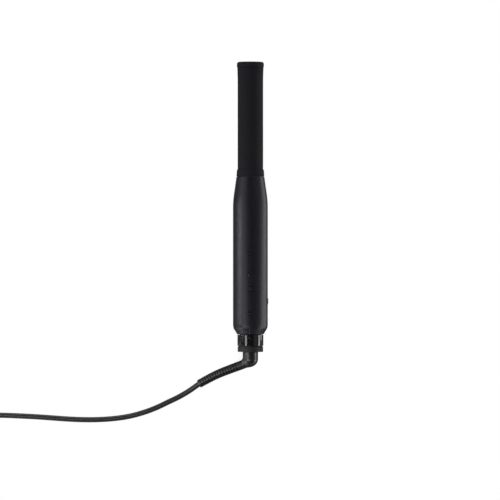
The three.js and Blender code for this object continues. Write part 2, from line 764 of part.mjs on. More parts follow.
function cordPieces() {
  return [
    piece("elbow_strain_relief", elbow(), CORD_BLACK),
    piece("cord_lead", tube(LEAD_ROUTE, CORD_R, CORD_R, 20, 10), CORD_BLACK),
    piece("cord_coil", coil(), CORD_BLACK),
    piece("cord_tail", tube(TAIL_ROUTE, CORD_R, CORD_R, 3, 10), CORD_BLACK),
    piece("cord_tie", cordTie(), MATTE_BLACK),
    plugGroup(),
  ];
}

// ---------- assembly ----------
const wand = new THREE.Group();
wand.position.z = AXIS_HEIGHT;
wand.add(
  ...heaterPieces(),
  ...handlePieces(),
  ...electronicsPieces(),
  ...wirePieces(),
  ...footPieces(),
  ...BUTTONS.map((b) => piece(`button_${b.name}`, button(b), MATTE_BLACK)),
  piece("slide_knob", slideKnob(), MATTE_BLACK),
);

const part = new THREE.Group();
part.add(wand, ...cordPieces());

export default part;
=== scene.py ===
"""Looks of a clipless hair-curling wand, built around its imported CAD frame.

Shapes are written in millimetres and turned into metres when a mesh is made. +Y runs along the
wand to its tip, +Z up out of the button side, and +X to the right. Round pieces are turned about
the wand's own axis, which lies AXIS_Z above the surface.
"""

import json
import math

import bmesh
import bpy
import numpy as np
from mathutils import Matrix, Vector


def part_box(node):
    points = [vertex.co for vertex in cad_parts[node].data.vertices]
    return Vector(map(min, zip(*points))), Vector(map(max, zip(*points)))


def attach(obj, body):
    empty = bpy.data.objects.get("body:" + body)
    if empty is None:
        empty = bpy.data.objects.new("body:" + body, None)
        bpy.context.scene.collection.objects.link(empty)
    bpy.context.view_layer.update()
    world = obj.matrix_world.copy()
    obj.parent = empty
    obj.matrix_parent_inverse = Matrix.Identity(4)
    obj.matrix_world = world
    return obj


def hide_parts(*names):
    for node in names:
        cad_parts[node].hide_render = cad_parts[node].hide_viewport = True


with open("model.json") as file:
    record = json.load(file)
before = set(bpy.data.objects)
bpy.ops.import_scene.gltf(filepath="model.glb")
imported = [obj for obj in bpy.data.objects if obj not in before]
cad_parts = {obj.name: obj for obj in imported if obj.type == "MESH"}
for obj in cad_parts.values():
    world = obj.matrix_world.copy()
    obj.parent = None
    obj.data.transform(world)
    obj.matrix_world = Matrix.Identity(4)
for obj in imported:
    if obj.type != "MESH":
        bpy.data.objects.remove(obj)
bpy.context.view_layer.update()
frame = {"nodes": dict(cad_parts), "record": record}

MM = 0.001
ACROSS, ALONG, UP = 0, 1, 2
FINE = 160  # facets round a visible turned piece
CORD_SLACK = 0.02  # how far the visible jacket stays inside the CAD cord


def span(node, axis):
    """Where a CAD node starts and ends along an axis, in millimetres."""
    low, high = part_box(node)
    return low[axis] / MM, high[axis] / MM


def middle(node, axis):
    return sum(span(node, axis)) / 2


def extent(node, axis):
    low, high = span(node, axis)
    return high - low


# ---------- sizes ----------
AXIS_Z = middle("barrel", UP)
TIP_Y = span("tip_cap", ALONG)[1]
BARREL_TOP_Y = span("barrel", ALONG)[1]
BARREL_FOOT_Y = span("barrel", ALONG)[0]
COLLAR_TOP_Y = span("neck_collar", ALONG)[1]
HANDLE_FOOT_Y, NECK_Y = span("handle_rear_shell", ALONG)
RING_FOOT_Y = span("lock_ring", ALONG)[0]
FOOT_Y = span("swivel_hub", ALONG)[0]
HANDLE_R = span("handle_rear_shell", ACROSS)[1]
RING_R = span("lock_ring", ACROSS)[1]
HUB_R = span("swivel_hub", ACROSS)[1]
TIP_R = span("tip_cap", ACROSS)[1]
BARREL_R = 14
BORE_R = 12.8
COLLAR_R = 15.32
GAP = 0.3
RING_TOP_Y = HANDLE_FOOT_Y - 0.5
HUB_TOP_Y = RING_FOOT_Y - 1.05
SPINDLE_R = 7.9
WALL = 2
SPLIT = 0.12  # each handle shell stops this far from the plane through the axis

CORD_R = 3
COIL_X, COIL_Y = -333, -184.5
COIL_BASE = span("cord_coil", UP)[0]
COIL_INNER, COIL_OUTER = 27, 45
COIL_PITCH = 6
CLIMB_TURNS = 0.3  # how much of a turn the cord takes to climb onto the first layer
COIL_END_ANGLE = 200

RELIEF_ROUTE = [
    (-2.2, -171, 17.6),
    (-10.3, -174.2, 16),
    (-23.5, -179.2, 13.2),
    (-36.7, -184.6, 10.3),
    (-49.9, -191.4, 7.4),
    (-56.6, -195.2, 6),
]
LEAD_ROUTE = [
    (-56.9, -195.4, 5.9),
    (-61.8, -198.9, 4.9),
    (-67.7, -203, 3.9),
    (-74.8, -207.3, 3.3),
    (-81.9, -211.1, 3.1),
    (-90, -214.9, 3.1),
    (-98.5, -219.1, 3.1),
    (-108, -223.2, 3.1),
    (-120, -227.4, 3.1),
    (-134, -231, 3.1),
    (-150, -233.4, 3.1),
    (-168, -234.6, 3.1),
    (-188, -234.6, 3.1),
    (-210, -233.4, 3.1),
    (-232, -231.8, 3.1),
    (-254, -230.6, 3.1),
    (-276, -229.8, 3.2),
    (-294, -229.6, 3.6),
    (-308.8, -229.5, 4.1),
]
TAIL_ROUTE = [
    (-383, -171, 9),
    (-383.6, -167, 8.5),
    (-383.9, -163, 8),
    (-384, -158.3, 7.6),
]


# ---------- camera ----------
CAMERA_X, CAMERA_Y = -0.00044, -0.0475
CAMERA_HEIGHT = 5  # metres above the wand's axis
VIEW_WIDTH = 0.55  # metres across the picture at that axis


def make_camera():
    """Straight above the wand, and far enough away to see it nearly without perspective."""
    data = bpy.data.cameras.new("camera")
    data.sensor_width = 36
    data.lens = 36 * CAMERA_HEIGHT / VIEW_WIDTH
    data.clip_end = 30
    camera = bpy.data.objects.new("camera", data)
    camera.location = (CAMERA_X, CAMERA_Y, AXIS_Z * MM + CAMERA_HEIGHT)
    bpy.context.scene.collection.objects.link(camera)
    bpy.context.scene.camera = camera


make_camera()


# ---------- materials ----------
class Nodes:
    """A Principled material and the node chains that the materials share. Scales are per metre."""

    def __init__(self, name, **sockets):
        self.material = bpy.data.materials.new(name)
        self.material.use_nodes = True
        self.tree = self.material.node_tree
        self.shader = self.tree.nodes["Principled BSDF"]
        self.place = self.add("ShaderNodeTexCoord").outputs["Object"]
        for socket, value in sockets.items():
            self.shader.inputs[socket.replace("_", " ")].default_value = value

    def add(self, kind, **settings):
        node = self.tree.nodes.new(kind)
        for key, value in settings.items():
            setattr(node, key, value)
        return node

    def link(self, source, target):
        self.tree.links.new(source, target)

    def stretched(self, scale):
        mapping = self.add("ShaderNodeMapping")
        mapping.inputs["Scale"].default_value = scale
        self.link(self.place, mapping.inputs["Vector"])
        return mapping.outputs["Vector"]

    def noise(self, scale, detail=3, stretch=None):
        node = self.add("ShaderNodeTexNoise")
        node.inputs["Scale"].default_value = scale
        node.inputs["Detail"].default_value = detail
        self.link(self.stretched(stretch) if stretch else self.place, node.inputs["Vector"])
        return node.outputs["Fac"]

    def ranged(self, source, low, high, start=0.3, end=0.7):
        node = self.add("ShaderNodeMapRange")
        ends = {"From Min": start, "From Max": end, "To Min": low, "To Max": high}
        for socket, value in ends.items():
            node.inputs[socket].default_value = value
        self.link(source, node.inputs["Value"])
        return node.outputs["Result"]

    def mixed(self, factor, first, second):
        """A colour between two others. Sockets 6, 7 and 2 are the node's colour ones."""
        node = self.add("ShaderNodeMix", data_type="RGBA")
        self.link(factor, node.inputs["Factor"])
        for socket, colour in ((node.inputs[6], first), (node.inputs[7], second)):
            if isinstance(colour, tuple):
                socket.default_value = (*colour, 1)
            else:
                self.link(colour, socket)
        return node.outputs[2]

    def colour(self, source):
        self.link(source, self.shader.inputs["Base Color"])

    def roughness(self, source, low, high):
        self.link(self.ranged(source, low, high), self.shader.inputs["Roughness"])

    def bump(self, source, depth, under=None):
        """Raises the surface by up to depth millimetres where source is 1."""
        node = self.add("ShaderNodeBump")
        node.inputs["Strength"].default_value = 1
        node.inputs["Distance"].default_value = depth * MM
        self.link(source, node.inputs["Height"])
        if under:
            self.link(under, node.inputs["Normal"])
        self.link(node.outputs["Normal"], self.shader.inputs["Normal"])
        return node.outputs["Normal"]


def shade(colour, factor):
    return tuple(channel * factor for channel in colour)


def moulded(name, colour, roughness, spread=0.06, grain=3000, depth=0.012, mottle=0.12, **sockets):
    """Moulded plastic or rubber: a fine grain, patches a little shinier, and faintly mottled."""
    m = Nodes(name, **sockets)
    m.colour(m.mixed(m.noise(90), shade(colour, 1 - mottle), shade(colour, 1 + mottle)))
    m.roughness(m.noise(240, 5), roughness - spread, roughness + spread)
    m.bump(m.noise(grain, 2), depth)
    return m.material


def metal(name, colour, roughness, grain=(900, 60, 900), depth=0.004):
    """Drawn or rolled metal with fine lines along it."""
    m = Nodes(name, Metallic=1.0)
    m.colour(m.mixed(m.noise(140), shade(colour, 0.82), colour))
    m.roughness(m.noise(3, 4, grain), roughness - 0.08, roughness + 0.12)
    m.bump(m.noise(3, 4, grain), depth)
    return m.material


def pressed_ceramic(name, colour):
    m = Nodes(name)
    specks = m.ranged(m.noise(2600, 2), 0, 1, 0.58, 0.7)
    m.colour(m.mixed(specks, colour, shade(colour, 0.72)))
    m.roughness(m.noise(700), 0.62, 0.85)
    m.bump(m.noise(1800, 4), 0.03)
    return m.material


def circuit_board(name, colour):
    """Solder mask over tracks, with bright pads in rows."""
    m = Nodes(name, Coat_Weight=0.4, Coat_Roughness=0.15)
    tracks = m.add("ShaderNodeTexBrick")
    tracks.inputs["Scale"].default_value = 190
    tracks.inputs["Mortar Size"].default_value = 0.03
    m.link(m.place, tracks.inputs["Vector"])
    lines = m.mixed(tracks.outputs["Fac"], shade(colour, 0.7), shade(colour, 1.5))
    pads = m.add("ShaderNodeTexVoronoi", feature="F1")
    pads.inputs["Scale"].default_value = 320
    pads.inputs["Randomness"].default_value = 0
    m.link(m.place, pads.inputs["Vector"])
    bare = m.ranged(pads.outputs["Distance"], 1, 0, 0.12, 0.16)
    m.colour(m.mixed(bare, lines, (0.7, 0.68, 0.6)))
    m.roughness(m.noise(400), 0.3, 0.45)
    m.bump(tracks.outputs["Fac"], 0.03)
    return m.material


def wrapped_film(name, colour):
    m = Nodes(name, Coat_Weight=0.3)
    m.colour(m.mixed(m.noise(120, 4), shade(colour, 0.7), shade(colour, 1.2)))
    m.roughness(m.noise(300), 0.22, 0.4)
    m.bump(m.noise(8, 3, (40, 8, 40)), 0.15)
    return m.material


def woven_sleeve(name, colour):
    """Braided glass yarn: two sets of slanting strands."""
    m = Nodes(name, Sheen_Weight=0.3)
    waves = []
    for slant in (40, -40):
        mapping = m.add("ShaderNodeMapping")
        mapping.inputs["Rotation"].default_value = (math.radians(slant), 0, math.radians(slant))
        m.link(m.place, mapping.inputs["Vector"])
        wave = m.add("ShaderNodeTexWave")
        wave.inputs["Scale"].default_value = 700
        m.link(mapping.outputs["Vector"], wave.inputs["Vector"])
        waves.append(wave.outputs["Fac"])
    m.colour(m.mixed(waves[0], shade(colour, 0.75), colour))
    m.roughness(m.noise(500), 0.7, 0.9)
    m.bump(waves[1], 0.06, m.bump(waves[0], 0.06))
    return m.material


def matte_coat():
    """The barrel's sprayed heat-resistant coat: very dark, hardly any gloss, and a fine tooth."""
    colour = (0.0172, 0.0168, 0.0205)
    m = Nodes("barrel_coat", Specular_IOR_Level=0.22, Sheen_Weight=0.02, Sheen_Roughness=0.5)
    m.colour(m.mixed(m.noise(70, 4), shade(colour, 0.85), shade(colour, 1.15)))
    m.roughness(m.noise(1500, 3), 0.82, 0.98)
    m.bump(m.noise(4200, 3), 0.02)
    return m.material


def gloss_trim():
    m = Nodes("gloss_trim", IOR=1.5, Specular_IOR_Level=0.85)
    m.colour(m.mixed(m.noise(80), (0.004, 0.004, 0.0045), (0.007, 0.007, 0.008)))
    m.roughness(m.noise(160, 5), 0.07, 0.13)
    m.bump(m.noise(400, 2), 0.0015)
    return m.material


def light_window():
    m = Nodes("lens", IOR=1.49, Coat_Weight=0.5, Coat_Roughness=0.1)
    m.colour(m.mixed(m.noise(900), (0.1, 0.1, 0.1), (0.15, 0.15, 0.145)))
    m.roughness(m.noise(600), 0.2, 0.35)
    return m.material


def cord_jacket():
    """Soft PVC: smooth, with slight swellings and a satin streak."""
    colour = (0.011, 0.011, 0.0125)
    m = Nodes("cord_rubber", Specular_IOR_Level=0.8)
    m.colour(m.mixed(m.noise(60, 4), shade(colour, 0.85), shade(colour, 1.2)))
    m.roughness(m.noise(350, 4), 0.28, 0.35)
    m.bump(m.noise(120, 2), 0.006, m.bump(m.noise(2600, 2), 0.002))
    return m.material


MATERIALS = {
    "satin_shell": moulded("satin_shell", (0.0098, 0.0092, 0.0162), 0.42, 0.05, 3400, 0.01),
    "barrel_coat": matte_coat(),
    "heat_plastic": moulded(
        "heat_plastic", (0.0175, 0.0168, 0.0228), 0.86, 0.06, 2600, 0.02, Specular_IOR_Level=0.22
    ),
    "gloss_trim": gloss_trim(),
    "matte_trim": moulded(
        "matte_trim", (0.028, 0.028, 0.03), 0.6, 0.06, 2800, 0.016, Specular_IOR_Level=0.3
    ),
    "button_plastic": moulded("button_plastic", (0.0125, 0.0125, 0.015), 0.5, 0.05, 3600, 0.008),
    "cord_rubber": cord_jacket(),
    "lens": light_window(),
    "ceramic": pressed_ceramic("ceramic", (0.78, 0.75, 0.68)),
    "aluminium": metal("aluminium", (0.72, 0.73, 0.74), 0.38),
    "brass": metal("brass", (0.78, 0.6, 0.3), 0.24),
    "steel": metal("steel", (0.6, 0.6, 0.61), 0.32),
    "inner_plastic": moulded("inner_plastic", (0.7, 0.67, 0.6), 0.5, 0.08, 1500, 0.02, 0.04),
    "board": circuit_board("board", (0.03, 0.2, 0.08)),
    "film": wrapped_film("film", (0.55, 0.26, 0.04)),
    "chip": moulded("chip", (0.02, 0.02, 0.02), 0.55, 0.08, 2600, 0.02),
    "sleeve": woven_sleeve("sleeve", (0.7, 0.66, 0.58)),
}
INK = moulded("print_ink", (0.07, 0.07, 0.075), 0.6, 0.05, 3000, 0.004, 0.1)
DARK_WINDOW = moulded(
    "dark_window", (0.003, 0.003, 0.003), 0.3, 0.04, 900, 0.002, Specular_IOR_Level=0.15
)

# every CAD piece gets the material of its slot, because the inner ones stay in the model
for subpart in frame["record"]["subparts"]:
    surface = frame["nodes"][subpart["node"]].data
    surface.materials.clear()
    surface.materials.append(MATERIALS[subpart["material_slot"]])


# ---------- meshes ----------
WELD_DISTANCE = 1e-7  # metres


def mesh_of(name, vertices, faces):
    """A mesh from vertices in millimetres."""
    mesh = bpy.data.meshes.new(name)
    points = (np.asarray(vertices, float) * MM).tolist()
    mesh.from_pydata(points, [], [list(map(int, face)) for face in faces])
    return mesh


def clean(mesh):
    """Welds the points that lie on each other and turns every face outwards."""
    bm = bmesh.new()
    bm.from_mesh(mesh)
    bmesh.ops.remove_doubles(bm, verts=bm.verts, dist=WELD_DISTANCE)
    bmesh.ops.recalc_face_normals(bm, faces=bm.faces)
    bm.to_mesh(mesh)
    bm.free()


def make(name, vertices, faces, body, slot, replaces=(), material=None, sharp=32):
    """A dressed piece from vertices in millimetres."""
    return dress(mesh_of(name, vertices, faces), name, body, slot, replaces, material, sharp)


def dress(mesh, name, body, slot, replaces=(), material=None, sharp=32):
    """Makes a mesh a piece on its CAD body, smooth but for edges of more than sharp degrees."""
    clean(mesh)
    mesh.shade_smooth()
    mesh.set_sharp_from_angle(angle=math.radians(sharp))
    mesh.materials.clear()
    mesh.materials.append(material or MATERIALS[slot])
    piece = bpy.data.objects.new(name, mesh)
    bpy.context.scene.collection.objects.link(piece)
    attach(piece, body)
    if replaces:
        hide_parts(*replaces)
    return piece


def rounded(outline, closed=False):
    """An outline of (x, y) or (x, y, radius) corners, with an arc at each that has a radius."""
    corners = [Vector(point[:2]) for point in outline]
    radii = [point[2] if len(point) > 2 else 0 for point in outline]
    count = len(corners)
    points = []
    for i, (corner, radius) in enumerate(zip(corners, radii)):
        if not radius or (not closed and i in (0, count - 1)):
            points.append(tuple(corner))
            continue
        back = corners[i - 1] - corner
        ahead = corners[(i + 1) % count] - corner
        angle = back.angle(ahead)
        reach = min(radius / math.tan(angle / 2), 0.49 * back.length, 0.49 * ahead.length)
        radius = reach * math.tan(angle / 2)
        start = corner + back.normalized() * reach
        end = corner + ahead.normalized() * reach
        inward = (back.normalized() + ahead.normalized()).normalized()
        centre = corner + inward * radius / math.sin(angle / 2)
        steps = max(2, round(math.degrees(math.pi - angle) / 12))
        first = math.atan2(*(start - centre).yx)
        turn = math.remainder(math.atan2(*(end - centre).yx) - first, math.tau)
        for step in range(steps + 1):
            bearing = first + turn * step / steps
            spoke = Vector((math.cos(bearing), math.sin(bearing)))
            points.append(tuple(centre + radius * spoke))
    return points


def bezier(start, control, end, steps=14):
    """Points of a quadratic curve, without its first."""
    points = []
    for step in range(1, steps + 1):
        t = step / steps
        before = np.array(start) + t * (np.array(control) - start)
        after = np.array(control) + t * (np.array(end) - control)
        points.append(tuple((before + t * (after - before)).tolist()))
    return points


def held(points, closed=False):
    """Adds a point close to each end of every long straight, so that it is shaded as flat."""
    close, shortest = 0.12, 1
    points = [np.array(point) for point in points]
    ends = points[1:] + points[:1] if closed else points[1:]
    made = [points[0]]
    for start, end in zip(points, ends):
        length = np.linalg.norm(end - start)
        if length > shortest:
            step = (end - start) * close / length
            made += [start + step, end - step]
        made.append(end)
    if closed:
        made.pop()
    return [tuple(point.tolist()) for point in made]


def turned(outline, closed=True, facets=FINE, x=0, z=None):
    """Vertices and faces of an outline of (radius, y) turned about a line along Y."""
    z = AXIS_Z if z is None else z
    vertices, rows = [], []
    for radius, y in outline:
        if radius < 1e-6:
            rows.append([len(vertices)] * facets)
            vertices.append((x, y, z))
            continue
        rows.append(range(len(vertices), len(vertices) + facets))
        for i in range(facets):
            angle = math.tau * i / facets
            vertices.append((x + radius * math.sin(angle), y, z + radius * math.cos(angle)))
    faces = []
    for low, high in zip(rows, rows[1:] + rows[:1] if closed else rows[1:]):
        for i in range(facets):
            j = (i + 1) % facets
            face = list(dict.fromkeys((low[i], low[j], high[j], high[i])))
            if len(face) > 2:
                faces.append(face)
    return vertices, faces


def lathe(name, outline, body, slot, replaces=(), closed=True, **options):
    outline = held(rounded(outline, closed), closed)
    return make(name, *turned(outline, closed, **options), body, slot, replaces)


def loft(sections):
    """Vertices and faces of a closed form through rings of equally many points, with flat ends."""
    count = len(sections[0])
    vertices = [point for section in sections for point in section]
    faces = [list(range(count)), [len(vertices) - 1 - i for i in range(count)]]
    for row in range(len(sections) - 1):
        for i in range(count):
            j = (i + 1) % count
            start = row * count
            faces.append((start + i, start + j, start + count + j, start + count + i))
    return vertices, faces


def joined(*parts):
    """Several (vertices, faces) as one."""
    vertices, faces = [], []
    for points, loops in parts:
        faces += [[len(vertices) + i for i in loop] for loop in loops]
        vertices += list(points)
    return vertices, faces


def smooth_line(points, step):
    """A curve of even steps through points: a natural cubic spline over their distances."""
    points = np.asarray(points, float)
    places = np.concatenate([[0], np.cumsum(np.linalg.norm(np.diff(points, axis=0), axis=1))])
    gaps = np.diff(places)
    count = len(points)
    system = np.eye(count)
    wanted = np.zeros((count, 3))
    slopes = np.diff(points, axis=0) / gaps[:, None]
    for i in range(1, count - 1):
        system[i, i - 1 : i + 2] = gaps[i - 1], 2 * (gaps[i - 1] + gaps[i]), gaps[i]
        wanted[i] = 6 * (slopes[i] - slopes[i - 1])
    bends = np.linalg.solve(system, wanted)
    at = np.linspace(0, places[-1], max(2, round(places[-1] / step)) + 1)
    i = np.clip(np.searchsorted(places, at, side="right") - 1, 0, count - 2)
    h = gaps[i][:, None]
    a = (places[i + 1] - at)[:, None] / h
    b = 1 - a
    curve = (a**3 - a) * bends[i] + (b**3 - b) * bends[i + 1]
    return a * points[i] + b * points[i + 1] + curve * h * h / 6


def frames_along(line):
    """The side and the top of a line at each of its points, with its side always level."""
    ahead = np.gradient(line, axis=0)
    ahead /= np.linalg.norm(ahead, axis=1)[:, None]
    top = np.zeros_like(line)
    for i, direction in enumerate(ahead):
        guide = np.array([0.0, 0.0, 1.0])
        flat = guide - direction * guide.dot(direction)
        top[i] = flat / np.linalg.norm(flat)
    return np.cross(ahead, top), top


def swept(line, radius_at, sides):
    """Vertices and faces of a tube. radius_at(i, angle) is its radius. Angle 0 is its top."""
    side, top = frames_along(line)
    angles = [math.tau * k / sides for k in range(sides)]
    sections = []
    for i, centre in enumerate(line):
        ring = []
        for angle in angles:
            r = radius_at(i, angle)
            ring.append(tuple(centre + r * (math.cos(angle) * top[i] + math.sin(angle) * side[i])))
        sections.append(ring)
    return loft(sections)


def evaluated(piece):
    """The mesh that an object's modifiers make."""
    bpy.context.view_layer.update()
    graph = bpy.context.evaluated_depsgraph_get()
    return bpy.data.meshes.new_from_object(piece.evaluated_get(graph))


def scratch(vertices, faces):
    """A throwaway object for modifiers."""
    mesh = mesh_of("scratch", vertices, faces)
    clean(mesh)
    piece = bpy.data.objects.new("scratch", mesh)
    bpy.context.scene.collection.objects.link(piece)
    return piece


def combined(base, steps):
    """The mesh of a solid after each (operation, (vertices, faces)) of steps."""
    piece = scratch(*base)
    tools = []
    for operation, tool in steps:
        other = scratch(*tool)
        tools.append(other)
        modifier = piece.modifiers.new("step", "BOOLEAN")
        modifier.operation = operation
        modifier.solver = "EXACT"
        modifier.object = other
    mesh = evaluated(piece)
    for used in (piece, *tools):
        bpy.data.objects.remove(used)
    return mesh


def rounded_rectangle(width, height, corner, per_corner=8):
    """Points round a rectangle with round corners, anticlockwise from its right side."""
    points = []
    for quarter, (sx, sy) in enumerate(((1, 1), (-1, 1), (-1, -1), (1, -1))):
        cx = sx * (width / 2 - corner)
        cy = sy * (height / 2 - corner)
        for k in range(per_corner + 1):
            angle = math.pi / 2 * (quarter + k / per_corner)
            points.append((cx + corner * math.cos(angle), cy + corner * math.sin(angle)))
    return points


# ---------- cord ----------
def coil_points(per_turn=24):
    """Clockwise from the coil's -Y side: in over the first layer, up, and out over the second."""
    turns_in = (COIL_OUTER - COIL_INNER) / COIL_PITCH
    turns_up = turns_in + CLIMB_TURNS
    last_turn = 2 * turns_in + (270 - COIL_END_ANGLE) / 360
    points = []
    for step in range(round(last_turn * per_turn) + 1):
        turn = min(step / per_turn, last_turn)
        radius = COIL_OUTER - COIL_PITCH * (min(turn, turns_in) - max(0, turn - turns_up))
        climbed = min(max((turn - turns_in) / CLIMB_TURNS, 0), 1)
        height = COIL_BASE + CORD_R + 2 * CORD_R * climbed * climbed * (3 - 2 * climbed)
        angle = math.radians(270 - 360 * turn)
        x, y = COIL_X + radius * math.cos(angle), COIL_Y + radius * math.sin(angle)
        points.append((x, y, height))
    return points


def make_cord():
    line = smooth_line([*LEAD_ROUTE, *coil_points(), *TAIL_ROUTE], 1.3)
    length = float(np.linalg.norm(np.diff(line, axis=0), axis=1).sum())
    tube = swept(line, lambda i, angle: CORD_R - CORD_SLACK, 18)
    cord = make("cord", *tube, "swivel", "cord_rubber", ("cord_lead", "cord_coil", "cord_tail"))
    return cord, line, length


cord, cord_line, cord_length = make_cord()


# ---------- stage and lights ----------
FLOOR_HALF = 6
FLOOR_DROP = 0.0004  # how far the floor lies under the lowest piece
LAMP_DISTANCE = 0.8
CARD_WIDTH = 0.34


def make_floor():
    """A pale floor that the camera sees as plain white, with a painted contact shadow close under
    the pieces, where ambient occlusion dims its glow.
    """
    mesh = bpy.data.meshes.new("floor")
    corners = [(x * FLOOR_HALF, y * FLOOR_HALF, 0) for x, y in ((-1, -1), (1, -1), (1, 1), (-1, 1))]
    mesh.from_pydata(corners, [], [(0, 1, 2, 3)])
    floor = bpy.data.objects.new("floor", mesh)
    floor.location.z = -FLOOR_DROP
    bpy.context.scene.collection.objects.link(floor)
    m = Nodes("floor", Roughness=0.9)
    m.shader.inputs["Base Color"].default_value = (0.3, 0.3, 0.3, 1)
    # painted contact shadow: the floor's glow is dimmed where ambient occlusion finds pieces close
    # above it
    painted_shadow_occlusion = m.add("ShaderNodeAmbientOcclusion", samples=8)
    painted_shadow_occlusion.inputs["Distance"].default_value = 0.03
    glow = m.add("ShaderNodeEmission")
    m.link(m.ranged(painted_shadow_occlusion.outputs["AO"], 0.25, 1, 0.1, 0.5), glow.inputs["Strength"])
    path = m.add("ShaderNodeLightPath")
    mix = m.add("ShaderNodeMixShader")
    m.link(path.outputs["Is Camera Ray"], mix.inputs["Fac"])
    m.link(m.shader.outputs["BSDF"], mix.inputs[1])
    m.link(glow.outputs["Emission"], mix.inputs[2])
    m.link(mix.outputs["Shader"], m.tree.nodes["Material Output"].inputs["Surface"])
    mesh.materials.append(m.material)


def make_world():
    """Dim grey light from all round, behind a white background."""
    world = bpy.data.worlds.new("studio")
    world.use_nodes = True
    tree = world.node_tree
    seen = tree.nodes["Background"]
    seen.inputs["Color"].default_value = (1, 1, 1, 1)
    dim = tree.nodes.new("ShaderNodeBackground")
    dim.inputs["Color"].default_value = (0.9, 0.93, 1, 1)
    dim.inputs["Strength"].default_value = 0.05
    path = tree.nodes.new("ShaderNodeLightPath")
    mix = tree.nodes.new("ShaderNodeMixShader")
    tree.links.new(path.outputs["Is Camera Ray"], mix.inputs["Fac"])
    tree.links.new(dim.outputs["Background"], mix.inputs[1])
    tree.links.new(seen.outputs["Background"], mix.inputs[2])
    tree.links.new(mix.outputs["Shader"], tree.nodes["World Output"].inputs["Surface"])
    bpy.context.scene.world = world


def lamp(name, place, target, across, high, radiance):
    """A rectangular lamp that the camera doesn't see. It faces a target, and is across wide and
    high tall.
    """
    data = bpy.data.lights.new(name, "AREA")
    data.shape = "RECTANGLE"
    data.size = across
    data.size_y = high
    data.energy = radiance * math.pi * across * high
    made = bpy.data.objects.new(name, data)
    made.visible_camera = False
    made.location = place
    made.rotation_euler = (Vector(target) - Vector(place)).to_track_quat("-Z", "Y").to_euler()
    bpy.context.scene.collection.objects.link(made)


def softbox(name, tilt, spread, radiance, low_y, high_y):
    """A long lamp beside the wand, between two places along it. tilt is the degrees from straight
    above to its middle, positive to the right, and spread those from one of its edges to the other.
    """
    angle = math.radians(tilt)
    high = 2 * LAMP_DISTANCE * math.tan(math.radians(spread / 2))
    middle_y = (low_y + high_y) / 2
    axis = Vector((0, middle_y, AXIS_Z * MM))
    place = axis + LAMP_DISTANCE * Vector((math.sin(angle), 0, math.cos(angle)))
    lamp(name, place, axis, high_y - low_y, high, radiance)


def floor_card(name, x, radiance, low_y, high_y):
    """A lamp that lies on the floor beside the wand and shines upwards."""
    y = (low_y + high_y) / 2
    lamp(name, (x, y, 0.002), (x, y, 1), CARD_WIDTH, high_y - low_y, radiance)


make_floor()
make_world()
FOOT_LIGHT = (-0.55, -0.145)  # where each set of lamps starts and ends along the wand, in metres
SHOULDER_LIGHT = (-0.95, -0.45)
HANDLE_LIGHT = (-0.132, 0.055)
BARREL_LIGHT = (0.055, 0.45)
softbox("foot_left_strip", -40, 17, 3.8, *FOOT_LIGHT)
softbox("foot_right_strip", 84, 14, 5.5, *FOOT_LIGHT)
softbox("foot_right_fill", 50, 40, 0.2, *FOOT_LIGHT)
softbox("foot_shoulder_left", -84, 20, 5, *SHOULDER_LIGHT)
softbox("foot_shoulder_right", 88, 16, 2.5, *SHOULDER_LIGHT)
softbox("handle_left_strip", -68, 8, 12, *HANDLE_LIGHT)
softbox("handle_low_left_strip", -84, 8, 8, *HANDLE_LIGHT)
softbox("barrel_left_panel", -52, 44, 0.8, *BARREL_LIGHT)
softbox("barrel_right_panel", 45, 50, 0.22, *BARREL_LIGHT)
floor_card("right_card", 0.22, 1.85, -0.148, 0.4)
floor_card("foot_right_card", 0.22, 0.3, -0.5, -0.15)
floor_card("foot_left_card", -0.22, 0.35, -0.5, -0.15)
lamp("foot_low_left", (-0.45, -0.75, 0.1), (0, -0.15, 0.018), 0.4, 0.2, 0.9)
lamp("foot_low_right", (0.45, -0.75, 0.1), (0, -0.15, 0.018), 0.4, 0.2, 0.5)
lamp("cord_lamp", (-0.24, -0.295, 0.4), (-0.24, -0.22, 0), 0.42, 0.12, 1.8)
lamp("back_card", (0, 1.3, 0.45), (0, 0, 0), 1.6, 0.5, 2.35)
lamp("front_card", (0, -1.3, 0.45), (0, 0, 0), 1.6, 0.5, 0.15)
bpy.context.scene.view_settings.view_transform = "Standard"


# ---------- barrel ----------
def make_barrel():
    """A tube that widens a little over its last part."""
    flare, length = 0.45, 19
    outline = [
        (BORE_R, BARREL_FOOT_Y),
        (BARREL_R, BARREL_FOOT_Y),
        *[
            (BARREL_R + flare * t * t, BARREL_TOP_Y - length * (1 - t))
            for t in np.linspace(0, 0.95, 12)
        ],
        (BARREL_R + flare, BARREL_TOP_Y, 0.25),
        (BORE_R, BARREL_TOP_Y, 0.25),
    ]
    lathe("barrel_tube", outline, "wand", "barrel_coat", ("barrel",))


def make_tip_cap():
    seam_y = BARREL_TOP_Y + GAP
    skirt_r = BORE_R - 0.2
    outline = [
        (0, seam_y - 1.4),
        (skirt_r - 1.6, seam_y - 1.4),
        (skirt_r - 1.6, seam_y - 7, 0.3),
        (skirt_r, seam_y - 7, 0.3),
        (skirt_r, seam_y),
        (TIP_R - 0.15, seam_y, 0.2),
        (TIP_R, seam_y + 1.55, 2),
        (TIP_R - 0.1, TIP_Y - 0.15, 4.3),
        (9.6, TIP_Y - 0.1, 3),
        (0, TIP_Y),
    ]
    lathe("tip_cap_moulding", outline, "wand", "heat_plastic", ("tip_cap",), closed=False)


